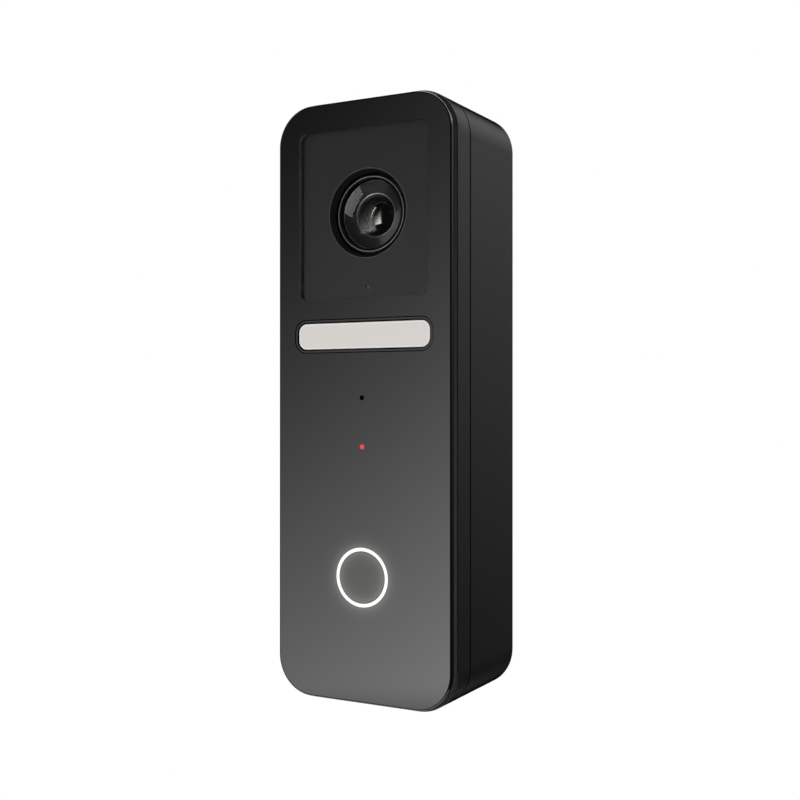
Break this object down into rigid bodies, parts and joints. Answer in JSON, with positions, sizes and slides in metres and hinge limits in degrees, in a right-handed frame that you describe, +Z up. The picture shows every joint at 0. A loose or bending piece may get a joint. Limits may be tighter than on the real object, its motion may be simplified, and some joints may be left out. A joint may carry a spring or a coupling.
{
  "type": "video doorbell",
  "caption": "Slim upright wall-mounted video doorbell with a flat black glass face, camera window, night light bar and a round button with a light ring.",
  "frame": {"origin": "centre of the wall plate's back face, in the plane of the wall, half-way up the housing", "axes": "+Z up, +Y into the wall, the glass face looks along -Y, +X to the right as seen by a visitor"},
  "size_m": [0.04, 0.0284, 0.119],
  "materials": {
    "cover_glass": "gloss",
    "lens_glass": "gloss",
    "housing_plastic": "matte",
    "gloss_black": "gloss",
    "satin_black": "satin",
    "ring_grey": "satin",
    "diffuser_white": "satin",
    "light_guide": "gloss",
    "status_red": "gloss",
    "clear_pipe": "gloss",
    "adhesive_black": "matte",
    "silicone": "matte",
    "foam": "matte",
    "board": "satin",
    "chip": "matte",
    "can_metal": "satin",
    "heat_metal": "satin",
    "lamp": "gloss",
    "brass": "satin",
    "steel": "satin",
    "dark_steel": "satin",
    "flex": "satin",
    "label_grey": "matte",
    "plate_plastic": "matte",
    "mesh_cloth": "matte",
    "thermal": "matte"
  },
  "bodies": {
    "wall_plate": {"wall_plate": "plate_plastic"},
    "doorbell": {"front_glass": "cover_glass", "glass_adhesive": "adhesive_black", "front_frame": "housing_plastic", "housing_seal": "silicone", "rear_housing": "housing_plastic", "housing_screws": "steel", "back_label": "label_grey", "camera_carrier": "satin_black", "lens_trim_ring": "gloss_black", "lens_barrel": "satin_black", "front_lens": "lens_glass", "second_lens": "lens_glass", "rear_lens": "lens_glass", "lens_holder": "satin_black", "infrared_filter": "lens_glass", "image_sensor": "chip", "camera_board": "board", "board_screws": "steel", "sensor_light_pipe": "clear_pipe", "light_sensor": "chip", "night_light_frame": "ring_grey", "night_light_diffuser": "diffuser_white", "night_light_board": "board", "night_light_leds": "lamp", "button_light_ring": "light_guide", "button_seal": "silicone", "switch_body": "chip", "button_board": "board", "ring_leds": "lamp", "microphone": "can_metal", "microphone_gasket": "silicone", "status_light_pipe": "status_red", "status_led": "lamp", "main_board": "board", "processor": "chip", "processor_shield": "can_metal", "thermal_pad": "thermal", "heat_spreader": "heat_metal", "radio_module": "can_metal", "memory_chips": "chip", "antenna": "flex", "power_supply": "chip", "flat_cables": "flex", "speaker": "satin_black", "speaker_diaphragm": "silicone", "speaker_gasket": "foam", "speaker_mesh": "mesh_cloth", "speaker_contacts": "brass", "terminal_block": "satin_black", "terminal_plates": "brass"},
    "button": {"button_cap": "gloss_black", "switch_plunger": "satin_black"},
    "left_clamp": {"left_terminal_clamp": "steel"},
    "left_screw": {"left_terminal_screw": "steel"},
    "right_clamp": {"right_terminal_clamp": "steel"},
    "right_screw": {"right_terminal_screw": "steel"},
    "lock_washer": {"lock_screw_washer": "silicone"},
    "lock_screw": {"lock_screw": "dark_steel"}
  },
  "joints": [
    {"name": "doorbell_lift", "type": "slide", "parent": "wall_plate", "child": "doorbell", "axis": [0, 0, 1], "range_m": [0, 0.005]},
    {"name": "button_press", "type": "slide", "parent": "doorbell", "child": "button", "axis": [0, 1, 0], "range_m": [0, 0.0004], "stiffness_N_per_m": 3000, "springref_m": -0.0002},
    {"name": "left_clamp_slide", "type": "slide", "parent": "doorbell", "child": "left_clamp", "axis": [0, 1, 0], "range_m": [0, 0.0009]},
    {"name": "left_screw_turn", "type": "hinge", "parent": "left_clamp", "child": "left_screw", "pos_m": [-0.0052, -0.005, -0.014], "axis": [0, 1, 0], "range_deg": [0, 649]},
    {"name": "right_clamp_slide", "type": "slide", "parent": "doorbell", "child": "right_clamp", "axis": [0, 1, 0], "range_m": [0, 0.0009]},
    {"name": "right_screw_turn", "type": "hinge", "parent": "right_clamp", "child": "right_screw", "pos_m": [0.0052, -0.005, -0.014], "axis": [0, 1, 0], "range_deg": [0, 649]},
    {"name": "lock_washer_slide", "type": "slide", "parent": "doorbell", "child": "lock_washer", "axis": [0, 0, -1], "range_m": [0, 0.0018]},
    {"name": "lock_screw_turn", "type": "hinge", "parent": "lock_washer", "child": "lock_screw", "pos_m": [0, -0.0033, -0.0585], "axis": [0, 0, -1], "range_deg": [0, 1441]}
  ],
  "couplings": [
    {"joint": "left_screw_turn", "follows": "left_clamp_slide", "rad_per_m": 12566},
    {"joint": "right_screw_turn", "follows": "right_clamp_slide", "rad_per_m": 12566},
    {"joint": "lock_screw_turn", "follows": "lock_washer_slide", "rad_per_m": 13963}
  ]
}
